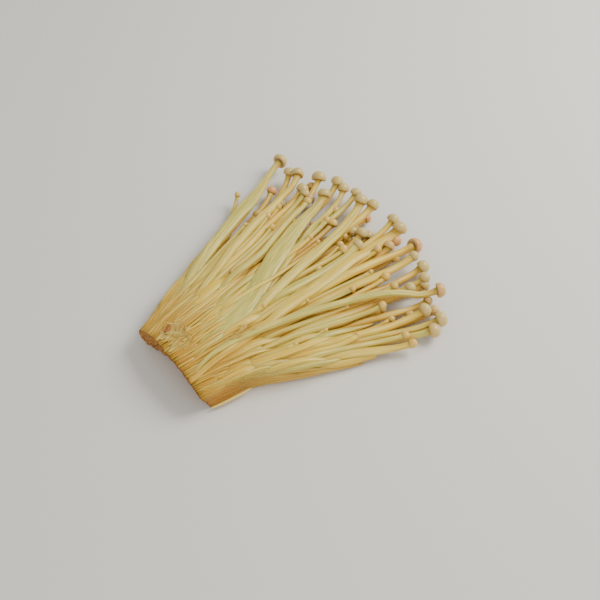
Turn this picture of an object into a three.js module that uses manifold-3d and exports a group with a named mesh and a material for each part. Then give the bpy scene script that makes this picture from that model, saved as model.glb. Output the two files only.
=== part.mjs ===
// An enoki mushroom bunch: slender mushrooms grown together at the root, cut from
// their block in one bunch and laid down, spread like a fan on a flat surface.
// Millimetres, +Z up. +Y runs from the cut root to the caps, and the bunch lies on z = 0.
import * as THREE from "three";
import { mergeVertices } from "three/addons/utils/BufferGeometryUtils.js";
import Module from "manifold-3d";

const wasm = await Module();
wasm.setup();

// Driving dimensions. The plan is laid out from the middle of the cut, and the finished
// bunch is moved by MIDDLE, so that the part's origin is below the middle of its box.
const MIDDLE = { x: -13.5, y: 67.1 };
const ROOT = { mid: -4, half: 24.5, depth: 15 };
const CUT = { middle: 2, corner: -4, lean: 20, level: 8 };
const APEX = { x: -1, y: -54 };
const REACH = { full: 186, leftFall: 0.008, rightFall: 0.075 };
const FAN = { left: -22.5, right: 20 };
const CORE = { length: 64, rounding: 0.28, inset: 1.4, right: 0.86, thin: 3.2 };
const SOLE = { half: 0.45, clear: 0.25, flank: 6, bed: 2.6, flat: 24 };
const EMERGE = { from: 20, to: 46, rootBelow: 0.4, tipBelow: 2.2 };
const RIDGE = { count: 15, height: 0.9, steps: 5 };
const LEAVE = { left: 1, right: 0.45 };
const FLOOR_GAP = 0.05;
const CLEAR = 0.35;
const SEAM = 0.05;

// Shape of one mushroom, as shares of its stem radius, cap radius or cap height.
const STEM = { start: 0.22, root: 0.6, low: 0.92, high: 0.92, neck: 0.78 };
const CAP = { height: 0.58, rim: 0.86, shoulder: 0.8, shoulderAt: 0.34, rimAt: 0.8 };
const SIDES = { large: 6, small: 5 };
const SMALL_CAP = 5.5;

// The mushrooms whose caps lead the fan, left to right:
// [cap x, cap y, depth in the pile from 0 low to 1 high or raised above it, cap width, stem width,
//  root shift, flatness of the stem, sideways lean and rise of the tip in degrees].
const LEADING = [
  [-77, 120, 1.4, 7.6, 3.6, 0, 1.45, 10, -6],
  [-70.5, 86, 0.9, 3, 2, 6, 1, 4, 4],
  [-67.5, 117.5, 1.1, 6.2, 3.2, 0, 1, -14, 6],
  [-62.5, 119.5, 1.25, 6.8, 3.6, 1, 1, -10, 10],
  [-64.5, 103, 0.7, 5, 3.2, 0, 1, -8, 8],
  [-61.5, 89.5, 0.85, 3, 2, 0, 1, 0, 6],
  [-55, 126.5, 1.1, 7.4, 3.2, 1, 1, -12, 6],
  [-54.5, 122, 0.3, 5.6, 3.2, 0, 1, 4, 4],
  [-54, 114.5, 1, 6.2, 3.4, 0, 1, -4, 4],
  [-50, 95.5, 1, 3, 2, 1, 1, -4, 8],
  [-48.5, 112, 0.95, 5, 3, 1, 1, 0, 6],
  [-47, 87, 1, 3.2, 2.1, 0, 1, -4, 6],
  [-47, 132, 1.05, 6.4, 3.2, 0, 1, -8, 6],
  [-43.5, 109, 1, 4, 2.6, 1, 1, 0, 4],
  [-43.5, 120.5, 0.95, 6.4, 4.2, 1, 1.8, 2, 0],
  [-42.5, 132, 0.7, 6, 3.2, 0, 1, -4, 4],
  [-39.5, 83.5, 1, 3, 2, 0, 1, 0, 6],
  [-35, 134, 0.9, 5.8, 3.2, 0, 1, -4, 6],
  [-28.5, 132, 1, 6.8, 4, 0, 1.15, -4, 2],
  [-27, 107.5, 1, 3.6, 2.6, 1, 1, -2, 6],
  [-23, 93, 1, 3, 2.2, 1, 1, 0, 6],
  [-22.5, 135, 0.85, 6.4, 3.6, 0, 1.1, -2, 4],
  [-20.5, 129, 0.25, 5, 3, 0, 1, 8, 0],
  [-11, 102, 0.95, 3.2, 2.2, -1, 1, -4, 6],
  [-12.5, 118, 0.75, 6.2, 3.2, 0, 1, -4, 6],
  [-7.5, 101, 1, 4.2, 2.8, 0, 1, 4, 6],
  [-8, 134, 1.1, 6.4, 3.4, 1, 1, -6, 8],
  [-5.5, 109, 0.95, 5.6, 4, -1, 1.2, -6, 2],
  [-7, 120.5, 0.6, 4.4, 3, -1, 1, -8, 4],
  [-3, 135, 1, 7.8, 4.4, 0, 1.25, 2, 6],
  [1.5, 114.5, 0.95, 3.8, 2.2, 1, 1, -4, 6],
  [0, 129, 0.45, 5.6, 3.2, 0, 1, 2, 2],
  [2.5, 122.5, 0.8, 5.4, 3.2, 1, 1, -2, 6],
  [10, 133.5, 0.75, 8.2, 3.8, -1, 1.2, 6, -8],
  [13.5, 87.5, 1, 3, 2, 0, 1, 6, 6],
  [15, 126.5, 0.95, 5.2, 4, -1, 1.2, 2, 4],
  [21, 127.5, 0.55, 6.6, 3.2, 0, 1, -2, 2],
  [23.5, 105, 1, 4, 2.6, 0, 1, 2, 6],
  [28, 93, 1, 4, 2.6, 1, 1, 6, 6],
  [28, 112, 0.8, 5.4, 4, 0, 1.2, 2, 2],
  [26.5, 122.5, 0.65, 6, 3.4, 0, 1, 0, 4],
  [29, 120.5, 0.4, 5.6, 3.2, 1, 1, 8, 2],
  [38.5, 121, 1, 7, 3.6, -8, 1, 10, 6],
  [37, 114.5, 0.55, 4.6, 3, 0, 1, 4, 4],
  [41.5, 109, 0.9, 6.4, 3.6, 0, 1.15, -4, 4],
  [43, 113.5, 0.4, 5.4, 3, 0, 1, 0, 2],
  [48.5, 112, 0.8, 7, 3.6, 1, 1, 4, 4],
  [51, 105, 0.5, 6.8, 3.4, 0, 1, 10, 0],
  [46, 91, 0.85, 3.6, 2.6, -1, 1, 6, 4],
  [50, 90.5, 0.5, 4.2, 2.8, 0, 1, 14, 2],
  [-63, 84.5, 0.95, 3, 2, 0, 1, 0, 4],
  [44.5, 81.5, 0.1, 3.2, 2.2, 0, 1, 6, 2],
  [-26.5, 61.5, 1, 2.4, 1.8, 0, 1, 0, 4],
];

// The stems that are broad and flat like ribbons, or cross the others, by their place in
// LEADING: [x, y, width] along each, from the cut to under its cap.
const ROUTES = {
  0: [
    [-21.9, -0.9, 3], [-24, 4.8, 3.6], [-27.4, 12.7, 5], [-32.7, 21, 6], [-38.1, 30.6, 6.2],
    [-43.7, 40.7, 6.4], [-49.5, 51, 6.6], [-54, 60.7, 6], [-58.7, 70.6, 6.8], [-63.7, 83, 7.6],
    [-67.8, 94.3, 6.8], [-71.2, 103.2, 4.6], [-74.7, 112.3, 3.4], [-76.2, 118.5, 3],
  ],
  14: [
    [1.9, 2.1, 2.6], [1.1, 7.9, 3.4], [-1.4, 16, 5], [-3.4, 24.1, 6], [-7.2, 34.8, 7],
    [-12.8, 46.9, 8], [-17.7, 58.1, 9.4], [-23.1, 69.1, 10], [-28, 81.7, 9.6], [-33, 94.6, 8],
    [-38.9, 108.6, 5], [-42.7, 118.4, 4.4],
  ],
  18: [
    [7.3, 1.3, 2.2], [6.1, 9.9, 2.6], [1.9, 27.4, 3.6], [-1.2, 42, 4.4], [-3.2, 53.1, 5],
    [-7.2, 68, 5.4], [-10.8, 82.9, 5.4], [-13.8, 96.1, 5.4], [-19.2, 111.6, 5], [-24.9, 124.1, 4.2],
    [-27.8, 129.7, 4],
  ],
  29: [
    [9.9, 1.9, 2.4], [8.9, 13.1, 2.8], [8.3, 26.8, 3.4], [6.7, 43.7, 4.2], [4.9, 54.7, 4.8],
    [3.5, 68.3, 5.6], [2, 82.3, 6], [-0.2, 97.4, 5.8], [-1.2, 110.1, 5.8], [-2.4, 121.3, 5.2],
    [-2.6, 132.4, 4.6],
  ],
  42: [
    [7.8, 1.9, 2.2], [6.6, 12.2, 2.6], [6.6, 22, 3.2], [7.3, 29.1, 3.6], [9.7, 42.8, 4.2],
    [12.2, 56.9, 4.2], [15.1, 66.8, 4], [18.2, 76.8, 4.2], [21.4, 86.9, 4.4], [25.2, 96.5, 4.4],
    [29.5, 105, 4.8], [33.4, 110.3, 3.6], [36.4, 116.6, 3.2], [38, 119.1, 3.2],
  ],
  3: [
    [-7.9, -0.9, 2.4], [-10.8, 5.2, 2.8], [-17.8, 18.5, 3.8], [-25.5, 33.2, 4.6], [-33.7, 48.4, 5.2],
    [-41.4, 62.4, 5.2], [-48.7, 79.1, 4.4], [-52.1, 89.7, 4.4], [-54.6, 99.8, 4], [-56.9, 109, 3.4],
    [-61.9, 117.7, 3.6],
  ],
  49: [
    [17.6, 1.6, 2.6], [18.1, 9.6, 3], [19, 20.9, 3.6], [23.2, 33.4, 4.4], [28, 45.8, 5.2],
    [33.4, 58, 5.4], [38, 66.9, 5], [42.6, 75.2, 4.4], [46.7, 83.3, 3], [49.8, 89.4, 2.8],
  ],
};

// The crowd under them, in layers from the surface up: [depth, how many, shortest and
// longest reach as shares of the fan's, narrowest and widest cap].
const LAYERS = [
  [0, 12, 0.82, 0.95, 4.4, 6.6],
  [0.35, 9, 0.78, 0.96, 4, 6.4],
  [0.7, 5, 0.72, 0.9, 3.6, 5.6],
];

// Seeded draws: the same mushrooms grow every time.
let seed = 20117;
function draw(low, high) {
  seed = (seed * 16807) % 2147483647;
  return low + ((high - low) * seed) / 2147483647;
}

const radians = THREE.MathUtils.degToRad;

// Height of the pile over the surface, at a share of the way across and a distance from
// the cut: highest a little past the root, lower at the sides and towards the caps.
function pileHeight(across, y) {
  const crest = ROOT.depth + 2 * (y / 35) * Math.exp(1 - y / 35) - 0.03 * y;
  return crest * (1 - 0.45 * across * across);
}

function reachAt(angle) {
  const fall = angle < 0 ? REACH.leftFall : REACH.rightFall;
  return REACH.full - fall * angle * angle;
}

// The line of one mushroom, from inside the root to the top of its cap.
function lineOf(m) {
  const slope = (m.x - APEX.x) / (m.y - APEX.y);
  const rootX = APEX.x - slope * APEX.y + m.shift;
  const across = THREE.MathUtils.clamp((rootX - ROOT.mid) / ROOT.half, -1, 1);
  const radius = m.stem / 2;
  const depth = Math.min(m.depth, 1);
  const raised = (y) => depth + (m.depth - depth) * THREE.MathUtils.smoothstep(y, 0, m.y);
  const heightAt = (y) => radius + FLOOR_GAP + raised(y) * (pileHeight(across, y) - 2 * radius);
  if (m.route) {
    const [[x, y], [nextX, nextY]] = m.route;
    const behind = new THREE.Vector3(x - ((nextX - x) * (y + 6)) / (nextY - y), -6, heightAt(0));
    const along = m.route.map(([px, py]) => new THREE.Vector3(px, py, heightAt(py)));
    return new THREE.CatmullRomCurve3([behind, ...along, new THREE.Vector3(m.x, m.y, heightAt(m.y))]);
  }
  const start = new THREE.Vector3(rootX, -6, heightAt(0));
  const tip = new THREE.Vector3(m.x, m.y, Math.max(heightAt(m.y), m.cap / 2 + FLOOR_GAP));
  const third = start.distanceTo(tip) / 3;
  const leave = Math.atan(slope) * (slope < 0 ? LEAVE.left : LEAVE.right);
  const arrive = Math.atan(slope) + radians(m.lean);
  const rise = radians(m.rise);
  const first = start.clone();
  first.x += third * Math.sin(leave);
  first.y += third * Math.cos(leave);
  first.z = heightAt(first.y);
  const last = tip.clone();
  last.x -= third * Math.sin(arrive) * Math.cos(rise);
  last.y -= third * Math.cos(arrive) * Math.cos(rise);
  last.z = Math.max(heightAt(last.y) - third * Math.sin(rise), radius + FLOOR_GAP);
  return new THREE.CubicBezierCurve3(start, first, last, tip);
}

// How wide a routed stem is at a distance from the cut.
function widthAt(route, y) {
  const next = route.findIndex((place) => place[1] > y);
  if (next <= 0) return next === 0 ? route[0][2] : route[route.length - 1][2];
  const [, y0, w0] = route[next - 1];
  const [, y1, w1] = route[next];
  return w0 + ((w1 - w0) * (y - y0)) / (y1 - y0);
}

// The outline of a straight mushroom of that length, from the axis at its root to the
// axis at the top of its cap: stem, neck, the cap's underside, rim and dome.
function outlineOf(m, length) {
  const stem = m.stem / 2;
  const cap = m.cap / 2;
  const height = m.cap * CAP.height;
  const points = [
    [0, length * STEM.start],
    [stem * STEM.root, length * STEM.start],
    [stem * STEM.low, length * 0.42],
    [stem, length * 0.63],
    [stem * STEM.high, length * 0.83],
    [stem * STEM.neck, length - height * 0.9],
    [cap * CAP.rim, length - height],
    [cap, length - height * CAP.rimAt],
    [cap * CAP.shoulder, length - height * CAP.shoulderAt],
    [0, length],
  ];
  if (m.plain) points.splice(3, 2);
  if (m.route) {
    points.splice(4, 1, [stem, length * 0.74], [stem, length * 0.83], [stem, length * 0.9]);
    points.splice(3, 0, [stem, length * 0.52]);
  }
  return points.map(([r, y]) => new THREE.Vector2(r, y));
}

// A lathe-turned mushroom, bent along its own line. A foot is lowered until it touches the
// surface, and every other one stays clear of it.
function mushroomGeometry(m) {
  const line = lineOf(m);
  const length = line.getLength();
  const sides = m.plain ? SIDES.small : SIDES.large;
  const geometry = new THREE.LatheGeometry(outlineOf(m, length), sides);
  const at = geometry.getAttribute("position");
  const up = new THREE.Vector3(0, 0, 1);
  const capStart = length - m.cap * CAP.height * 1.05;
  for (let i = 0; i < at.count; i++) {
    const share = at.getY(i) / length;
    const tangent = line.getTangent(share);
    const side = new THREE.Vector3().crossVectors(tangent, up).normalize();
    const over = new THREE.Vector3().crossVectors(side, tangent);
    const point = line.getPoint(share);
    const ribbon = m.route ? widthAt(m.route, point.y) / m.stem : Math.sqrt(m.flat);
    const wide = at.getY(i) < capStart ? ribbon : 1;
    point.addScaledVector(side, at.getX(i) * wide).addScaledVector(over, at.getZ(i) / Math.sqrt(wide));
    at.setXYZ(i, point.x, point.y, point.z);
  }
  geometry.computeBoundingBox();
  const lowest = geometry.boundingBox.min.z;
  return geometry.translate(0, 0, m.foot ? -lowest : Math.max(CLEAR - lowest, 0));
}

// One mushroom of the crowd: its tip lies at a drawn reach, in its own share of the fan.
function crowdMushroom([depth, count, shortest, longest, narrowest, widest], index) {
  const step = (FAN.right - FAN.left) / count;
  const angle = FAN.left + step * (index + draw(0.25, 0.75));
  const reach = reachAt(angle) * draw(shortest, longest);
  const cap = draw(narrowest, widest);
  return {
    x: APEX.x + reach * Math.sin(radians(angle)),
    y: APEX.y + reach * Math.cos(radians(angle)),
    depth: depth + draw(0, 0.12),
    cap,
    stem: cap * 0.3 + draw(1, 1.6),
    shift: draw(-1, 1),
    flat: 1,
    lean: draw(-10, 10),
    rise: draw(-4, 8),
    plain: true,
    foot: depth === 0 && (index === 0 || index === count - 1),
  };
}

function allMushrooms() {
  const leading = LEADING.map(([x, y, depth, cap, stem, shift, flat, lean, rise], place) => ({
    x, y, depth, cap, stem, shift, flat, lean, rise, plain: cap < SMALL_CAP, route: ROUTES[place],
  }));
  const crowd = LAYERS.flatMap((layer) =>
    Array.from({ length: layer[1] }, (_, index) => crowdMushroom(layer, index)),
  );
  return [...leading, ...crowd];
}

// How deep the core's top lies under the pile's: little at the root, where the stems have
// grown into one, and over half a stem further out, where they stand free of each other.
function coreBelow(y) {
  const free = THREE.MathUtils.smoothstep(y, EMERGE.from, EMERGE.to);
  return THREE.MathUtils.lerp(EMERGE.rootBelow, EMERGE.tipBelow, free);
}

// The grown-together middle of the bunch, which the stems stand out of on every side. Its
// ridges are the rooted ends of the stems, and they spread as the stems do, less on the
// right. It is flat underneath by the root, with one low point, the heel: the bunch lies on
// it and two feet.
function coreGeometry() {
  const geometry = new THREE.BoxGeometry(2, 1, 2, 2 * RIDGE.count, RIDGE.steps, 2);
  const at = geometry.getAttribute("position");
  for (let i = 0; i < at.count; i++) {
    const across = at.getX(i);
    const along = at.getY(i) + 0.5;
    const y = -6 + along * (CORE.length * (1 - CORE.rounding * across * across) + 6);
    const spread = Math.max(y, 0) / -APEX.y;
    const full = ROOT.half * (1 + spread) * (across > 0 ? CORE.right : 1);
    const half = full - CORE.inset * (1 + 2 * spread);
    const mid = ROOT.mid + (ROOT.mid - APEX.x) * spread;
    const thinning = 1 - 0.3 * Math.pow(along, 4);
    const ridge = Math.round((across + 1) * RIDGE.count) % 2 === 0 ? -RIDGE.height : 0;
    const top = Math.max((pileHeight(across, y) - coreBelow(y)) * thinning, CORE.thin) + ridge;
    const bed = SOLE.bed * THREE.MathUtils.smoothstep(y, SOLE.flat, CORE.length);
    const heel = Math.abs(across) < 0.01 && Math.abs(along - 2 / RIDGE.steps) < 0.01;
    const flank = SOLE.flank * Math.pow(Math.max(Math.abs(across) - SOLE.half, 0), 2);
    const bottom = heel ? 0 : SOLE.clear + bed + flank;
    const z = THREE.MathUtils.lerp(bottom, top, (at.getZ(i) + 1) / 2);
    at.setXYZ(i, mid + across * half, y, z);
  }
  return geometry;
}

// The space in front of the knife's cut: a shallow arch in plan, so that the cut is hollow
// at its middle and its two corners reach forward. It leans back under the root.
function knifeGeometry() {
  const wide = ROOT.half * 1.4;
  const outline = new THREE.Shape();
  outline.moveTo(-wide, -40);
  outline.lineTo(wide, -40);
  outline.lineTo(wide, CUT.corner);
  outline.quadraticCurveTo(0, 2 * CUT.middle - CUT.corner, -wide, CUT.corner);
  outline.closePath();
  const geometry = new THREE.ExtrudeGeometry(outline, {
    depth: 60,
    bevelEnabled: false,
    curveSegments: 12,
  });
  const lean = radians(CUT.lean);
  geometry.translate(ROOT.mid, 0, -20).rotateX(lean);
  return geometry.translate(0, CUT.level * Math.sin(lean), 0);
}

// A closed geometry as a solid: only positions, with shared vertices merged and the
// triangles that collapse on the lathe's axis left out.
function solidOf(geometry) {
  const bare = new THREE.BufferGeometry().setAttribute("position", geometry.getAttribute("position"));
  bare.setIndex(geometry.index);
  const merged = mergeVertices(bare, 1e-4);
  const corners = Array.from(merged.index.array);
  const kept = [];
  for (let i = 0; i < corners.length; i += 3) {
    const [a, b, c] = corners.slice(i, i + 3);
    if (a !== b && b !== c && a !== c) kept.push(a, b, c);
  }
  const mesh = new wasm.Mesh({
    numProp: 3,
    vertProperties: merged.getAttribute("position").array,
    triVerts: new Uint32Array(kept),
  });
  const solid = new wasm.Manifold(mesh);
  if (solid.volume() < 0) throw new Error("a geometry is inside out");
  return solid;
}

function geometryOf(solid) {
  const { vertProperties, triVerts, numProp } = solid.getMesh();
  const positions = new Float32Array((vertProperties.length / numProp) * 3);
  for (let i = 0; i < positions.length / 3; i++) {
    positions.set(vertProperties.subarray(i * numProp, i * numProp + 3), i * 3);
  }
  const geometry = new THREE.BufferGeometry();
  geometry.setAttribute("position", new THREE.BufferAttribute(positions, 3));
  geometry.setIndex(new THREE.BufferAttribute(triVerts, 1));
  geometry.computeVertexNormals();
  return geometry;
}

// The whole bunch in one body. A sealed gap between stems is a body inside out, so keeping
// only the largest body fills it, and the seams between stems are smoothed by SEAM.
function bunchGeometry() {
  let bunch = solidOf(coreGeometry());
  for (const mushroom of allMushrooms()) bunch = bunch.add(solidOf(mushroomGeometry(mushroom)));
  const bodies = bunch.subtract(solidOf(knifeGeometry())).decompose();
  const largest = bodies.reduce((a, b) => (b.volume() > a.volume() ? b : a));
  return geometryOf(largest.simplify(SEAM)).translate(-MIDDLE.x, -MIDDLE.y, 0);
}

const flesh = new THREE.MeshStandardMaterial({ color: 0xd8c99a, roughness: 0.45, metalness: 0 });

const bunch = new THREE.Group();
const mushrooms = new THREE.Mesh(bunchGeometry(), flesh);
mushrooms.name = "enoki_bunch";
bunch.add(mushrooms);

export default bunch;
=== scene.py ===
# %% [markdown]
# # An enoki mushroom bunch
# The bunch is well over a hundred slender mushrooms, grown together at the root,
# pressed flat by their own weight and opened like a fan. One block with painted stripes
# would be quicker to make. But the eye reads a bunch by the gaps, crossings and shadows
# between its stems, so each mushroom is a thin tube with its own cap.

# %% Load the frame
import math

import bpy
import numpy as np
from mathutils import Matrix, Vector


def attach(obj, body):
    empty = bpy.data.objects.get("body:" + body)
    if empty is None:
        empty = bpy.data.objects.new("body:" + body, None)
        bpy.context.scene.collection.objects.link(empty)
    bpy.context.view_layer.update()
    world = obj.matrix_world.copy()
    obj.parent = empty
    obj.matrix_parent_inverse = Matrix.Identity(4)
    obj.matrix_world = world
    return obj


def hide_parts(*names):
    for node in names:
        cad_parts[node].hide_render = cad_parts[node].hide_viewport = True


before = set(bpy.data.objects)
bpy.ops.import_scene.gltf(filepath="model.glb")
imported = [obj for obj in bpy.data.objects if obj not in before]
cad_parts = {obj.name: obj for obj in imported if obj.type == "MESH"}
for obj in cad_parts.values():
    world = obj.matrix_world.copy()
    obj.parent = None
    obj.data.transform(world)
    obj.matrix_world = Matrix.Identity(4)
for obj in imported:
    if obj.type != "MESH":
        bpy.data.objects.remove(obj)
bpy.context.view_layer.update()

MM = 0.001

# %% [markdown]
# ## Where each mushroom goes
# The plan is in millimetres and degrees. Its zero is the middle of the knife's cut, and
# +Y points towards the caps. The caps that lead the fan are placed one by one, since
# their order, their gaps and their heights in the pile are what makes this bunch this
# one and not another.

# %% Plan of the bunch
MIDDLE = np.array([-13.5, 67.1, 0.0])  # where the frame's zero lies on the plan
ROOT_MID, ROOT_HALF, ROOT_DEPTH = -4.0, 24.5, 15.0
APEX_X, APEX_Y = -1.0, -54.0  # where the lines of all stems would meet
REACH, FALL_LEFT, FALL_RIGHT = 186.0, 0.008, 0.075  # from there to the caps, less at each side
FAN_LEFT, FAN_RIGHT = -22.5, 20.0
LEAVE_LEFT, LEAVE_RIGHT = 1.0, 0.45  # the share of its slant that a stem has at the root
FLOOR_GAP = 0.05

# Tip x and y, depth in the pile (0 at the floor, 1 on top, more for a tip that stands
# clear of it), cap and stem width, sideways shift at the root, flatness, and how far
# the end leans to the right and rises.
NAMES = ("x", "y", "depth", "cap", "stem", "shift", "flat", "lean", "rise")
LEADING = [
    (-77, 120, 1.4, 7.6, 3.6, 0, 1.45, 10, -6), (-70.5, 86, 0.9, 3, 2, 6, 1, 4, 4),
    (-67.5, 117.5, 1.1, 6.2, 3.2, 0, 1, -14, 6), (-62.5, 119.5, 1.25, 6.8, 3.6, 1, 1, -10, 10),
    (-64.5, 103, 0.7, 5, 3.2, 0, 1, -8, 8), (-61.5, 89.5, 0.85, 3, 2, 0, 1, 0, 6),
    (-55, 126.5, 1.1, 7.4, 3.2, 1, 1, -12, 6), (-54.5, 122, 0.3, 5.6, 3.2, 0, 1, 4, 4),
    (-54, 114.5, 1, 6.2, 3.4, 0, 1, -4, 4), (-50, 95.5, 1, 3, 2, 1, 1, -4, 8),
    (-48.5, 112, 0.95, 5, 3, 1, 1, 0, 6), (-47, 87, 1, 3.2, 2.1, 0, 1, -4, 6),
    (-47, 132, 1.05, 6.4, 3.2, 0, 1, -8, 6), (-43.5, 109, 1, 4, 2.6, 1, 1, 0, 4),
    (-43.5, 120.5, 0.95, 6.4, 4.2, 1, 1.8, 2, 0), (-42.5, 132, 0.7, 6, 3.2, 0, 1, -4, 4),
    (-39.5, 83.5, 1, 3, 2, 0, 1, 0, 6), (-35, 134, 0.9, 5.8, 3.2, 0, 1, -4, 6),
    (-28.5, 132, 1, 6.8, 4, 0, 1.15, -4, 2), (-27, 107.5, 1, 3.6, 2.6, 1, 1, -2, 6),
    (-23, 93, 1, 3, 2.2, 1, 1, 0, 6), (-22.5, 135, 0.85, 6.4, 3.6, 0, 1.1, -2, 4),
    (-20.5, 129, 0.25, 5, 3, 0, 1, 8, 0), (-11, 102, 0.95, 3.2, 2.2, -1, 1, -4, 6),
    (-12.5, 118, 0.75, 6.2, 3.2, 0, 1, -4, 6), (-7.5, 101, 1, 4.2, 2.8, 0, 1, 4, 6),
    (-8, 134, 1.1, 6.4, 3.4, 1, 1, -6, 8), (-5.5, 109, 0.95, 5.6, 4, -1, 1.2, -6, 2),
    (-7, 120.5, 0.6, 4.4, 3, -1, 1, -8, 4), (-3, 135, 1, 7.8, 4.4, 0, 1.25, 2, 6),
    (1.5, 114.5, 0.95, 3.8, 2.2, 1, 1, -4, 6), (0, 129, 0.45, 5.6, 3.2, 0, 1, 2, 2),
    (2.5, 122.5, 0.8, 5.4, 3.2, 1, 1, -2, 6), (10, 133.5, 0.75, 8.2, 3.8, -1, 1.2, 6, -8),
    (13.5, 87.5, 1, 3, 2, 0, 1, 6, 6), (15, 126.5, 0.95, 5.2, 4, -1, 1.2, 2, 4),
    (21, 127.5, 0.55, 6.6, 3.2, 0, 1, -2, 2), (23.5, 105, 1, 4, 2.6, 0, 1, 2, 6),
    (28, 93, 1, 4, 2.6, 1, 1, 6, 6), (28, 112, 0.8, 5.4, 4, 0, 1.2, 2, 2),
    (26.5, 122.5, 0.65, 6, 3.4, 0, 1, 0, 4), (29, 120.5, 0.4, 5.6, 3.2, 1, 1, 8, 2),
    (38.5, 121, 1, 7, 3.6, -8, 1, 10, 6), (37, 114.5, 0.55, 4.6, 3, 0, 1, 4, 4),
    (41.5, 109, 0.9, 6.4, 3.6, 0, 1.15, -4, 4), (43, 113.5, 0.4, 5.4, 3, 0, 1, 0, 2),
    (48.5, 112, 0.8, 7, 3.6, 1, 1, 4, 4), (51, 105, 0.5, 6.8, 3.4, 0, 1, 10, 0),
    (46, 91, 0.85, 3.6, 2.6, -1, 1, 6, 4), (50, 90.5, 0.5, 4.2, 2.8, 0, 1, 14, 2),
    (-63, 84.5, 0.95, 3, 2, 0, 1, 0, 4), (44.5, 81.5, 0.1, 3.2, 2.2, 0, 1, 6, 2),
    (-26.5, 61.5, 1, 2.4, 1.8, 0, 1, 0, 4),
]

# The broad, flat stems and those that cross the others: x, y and width along each.
ROUTES = {
    0: [(-21.9, -0.9, 2.4), (-24.5, 4, 3), (-26.3, 8.8, 4.1), (-30.3, 18.6, 5), (-35.6, 30.5, 5.2),
        (-42.4, 41.5, 5.6), (-48.6, 54.4, 5.6), (-54.1, 67.5, 5.8), (-57.4, 76, 6.2),
        (-61.6, 87, 6.4), (-66.4, 97, 4.8), (-70.9, 104.5, 3.3), (-74.8, 112.3, 2.9), (-76.2, 118.5, 3)],
    1: [(-23, 0, 1.6), (-27, 8.8, 1.7), (-31, 18.6, 1.8), (-43, 41.5, 1.9), (-55.5, 65, 2),
        (-63, 76, 2), (-68.5, 83, 2)],
    3: [(-12.6, -0.9, 2), (-15.2, 4, 2), (-19, 12.4, 2.4), (-23.4, 23.6, 2.8), (-28.8, 35.6, 3.2),
        (-33.8, 47.2, 3.7), (-38.8, 57.7, 4), (-42, 66, 4.2), (-44.9, 73.6, 4.2), (-47.8, 82.9, 4),
        (-50.6, 91.8, 3.8), (-54, 100.6, 3.2), (-57.2, 109.1, 2.9), (-61.9, 117.7, 3.2)],
    13: [(-13.4, 1, 1.6), (-14.4, 5.6, 1.8), (-17.6, 17.4, 2), (-20.5, 29.6, 2.2), (-23.4, 41.1, 2.6),
         (-24.6, 49.1, 3), (-26.4, 59.5, 3), (-28, 67.1, 2.8), (-30.4, 73.4, 2.7), (-33.6, 81.4, 2.6),
         (-38, 92.4, 2.5), (-41, 101.5, 2.4)],
    14: [(3, 2.1, 2.4), (1.4, 7, 3.6), (-0.9, 15.8, 6.6), (-4, 28.7, 8.6), (-7.8, 42.7, 9.4),
         (-13.6, 54.7, 9.4), (-20.6, 67.3, 8.8), (-27, 80.4, 8.8), (-32.6, 92.9, 7), (-36, 101.7, 5.2),
         (-39.6, 111.6, 4), (-42.7, 118.4, 4)],
    15: [(4.8, 2, 1.8), (4.2, 8, 2), (1.7, 20.2, 2.2), (-3, 37.1, 2.6), (-7.1, 50.9, 3),
         (-10.9, 58.8, 3.2), (-15, 67.8, 3.3), (-19.1, 76.2, 3.3), (-23.4, 86.1, 3), (-28, 97.2, 3.1),
         (-32.4, 109.8, 3), (-36.5, 121.1, 2.9), (-40, 128, 2.8)],
    18: [(6.8, 1.3, 1.8), (5.6, 9.9, 2.2), (4, 15.3, 2.6), (1, 29.7, 3.2), (-2.4, 44.4, 3.8),
         (-4.6, 53.1, 4.4), (-7.4, 64, 4.8), (-11.4, 80.2, 5), (-14.4, 93.9, 4.8), (-18.6, 107.6, 4.6),
         (-24.3, 121.6, 4.2), (-27.8, 129.7, 4)],
    29: [(9.9, 1.9, 2.4), (8.9, 13.1, 2.8), (8.3, 26.8, 3.4), (6.7, 43.7, 4.2), (4.9, 54.7, 4.8),
         (3.5, 68.3, 5.6), (2, 82.3, 6), (-0.2, 97.4, 5.8), (-1.2, 110.1, 5.8), (-2.4, 121.3, 5.2),
         (-2.6, 132.4, 4.6)],
    42: [(7.8, 1.9, 2), (6.6, 12.2, 2.2), (6.6, 22, 2.6), (7.3, 29.1, 2.9), (9.7, 42.8, 3.2),
         (12.2, 56.9, 3.2), (15.1, 66.8, 3.1), (18.2, 76.8, 3.1), (21.4, 86.9, 3.2),
         (25.2, 96.5, 3.3), (29.5, 105, 3.4), (33.4, 110.3, 3), (36.4, 116.6, 2.8),
         (38, 119.1, 2.8)],
    49: [(16.4, 1.6, 2.4), (16.8, 9.6, 2.8), (17.8, 20.9, 3.2), (22.4, 33.4, 4), (28, 45.8, 4.8),
         (33.4, 58, 5), (38, 66.9, 4.6), (42.6, 75.2, 4.2), (46.7, 83.3, 3), (49.8, 89.4, 2.8)],
}
# How far each lies above the pile, and between which distances it comes up to there.
ABOVE = {42: (2.6, 0, 12), 14: (2.0, 0, 12), 15: (2.0, 0, 30), 13: (1.6, 34, 50),
         18: (1.4, 34, 50), 29: (0.9, 0, 12), 1: (-3.0, 0, 12), 49: (1.6, 0, 12)}
JUST_ABOVE = (0.5, 0, 12)
print("placed one by one:", len(LEADING))

# %% [markdown]
# ## The crowd
# Behind and below the leading mushrooms, nobody could tell one from another, so a rule
# sows them: each has its own share of the fan's angle, and seeded draws set how far it
# reaches, how wide its cap is and how it leans. The first three layers are the ones in
# the frame's solid, and the finer ones fill the gaps.

# %% Rule of the crowd
MULTIPLIER, MODULUS = 16807, 2147483647
seed = 20117


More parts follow.
